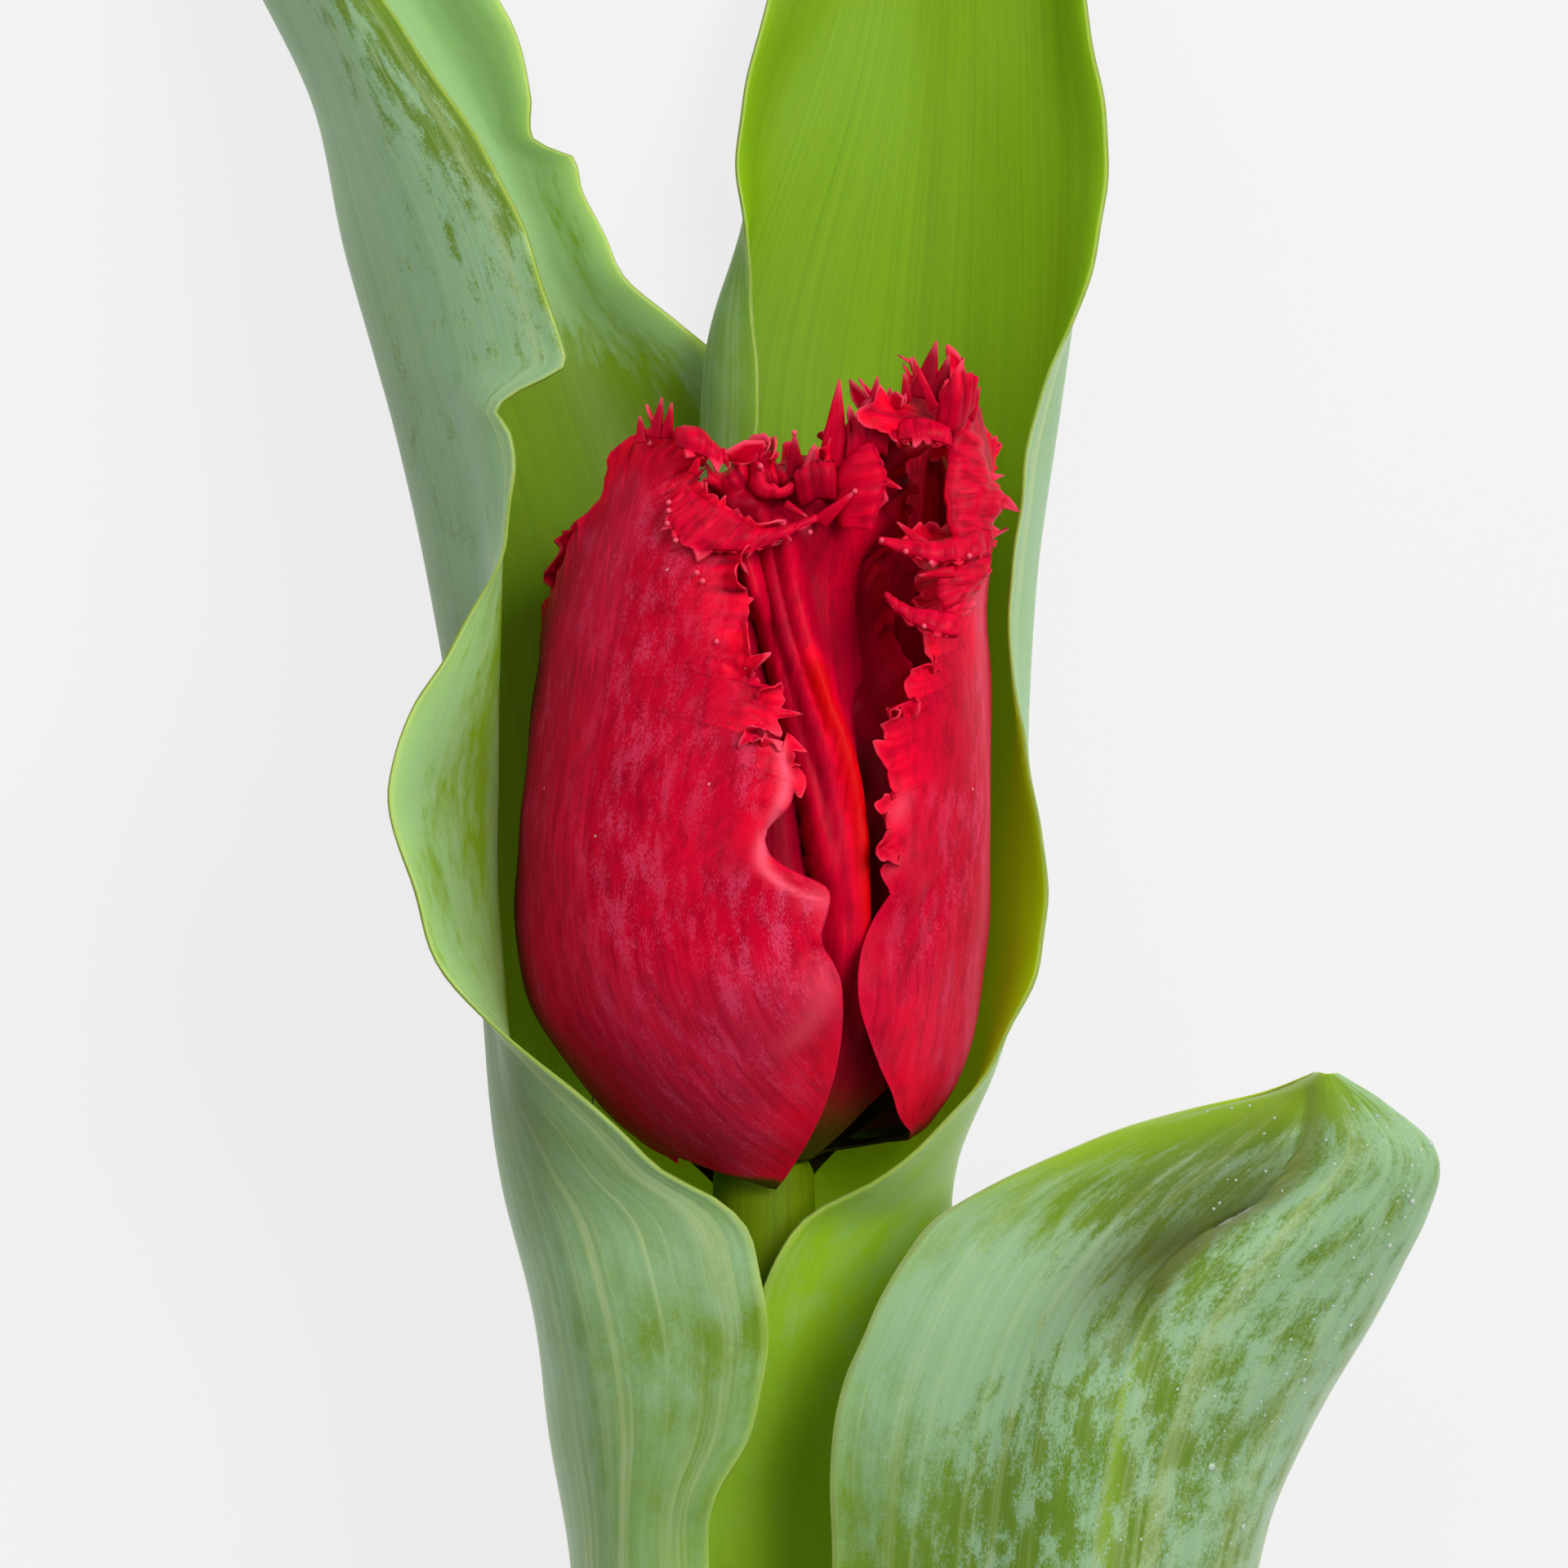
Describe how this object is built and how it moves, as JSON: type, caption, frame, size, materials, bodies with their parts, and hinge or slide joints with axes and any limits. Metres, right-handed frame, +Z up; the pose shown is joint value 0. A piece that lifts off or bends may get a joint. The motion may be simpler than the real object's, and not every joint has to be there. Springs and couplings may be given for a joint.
{
  "type": "fringed tulip",
  "caption": "Cut tulip lying on its back: a half-closed flower with fringed tepals on a gently bent stem, with broad leaves that clasp the stem and fold round the flower.",
  "frame": {"origin": "centre of the bounding box, on the surface that the tulip lies on", "axes": "+Y from the cut end of the stem to the flower, +Z up from the surface, +X to the flower's right seen from above"},
  "size_m": [0.1002, 0.41, 0.0428],
  "materials": {
    "stem": "smooth waxy plant skin, olive green",
    "leaf": "waxy leaf with fine lengthwise veins, green with a blue-grey bloom",
    "tepal_outer": "satin petal, deep crimson with a faint bloom",
    "tepal_inner": "satin petal, scarlet",
    "pistil": "matt pale green",
    "stamen": "matt dark violet anther on a dark filament"
  },
  "bodies": {
    "root": {"stem": "stem", "leaf_lower": "leaf", "leaf_middle": "leaf", "leaf_upper": "leaf", "tepal_outer_left": "tepal_outer", "tepal_outer_right": "tepal_outer", "tepal_outer_back": "tepal_outer", "tepal_inner_front": "tepal_inner", "tepal_inner_right": "tepal_inner", "tepal_inner_left": "tepal_inner", "pistil": "pistil", "stamen_1": "stamen", "stamen_2": "stamen", "stamen_3": "stamen", "stamen_4": "stamen", "stamen_5": "stamen", "stamen_6": "stamen"}
  },
  "joints": []
}
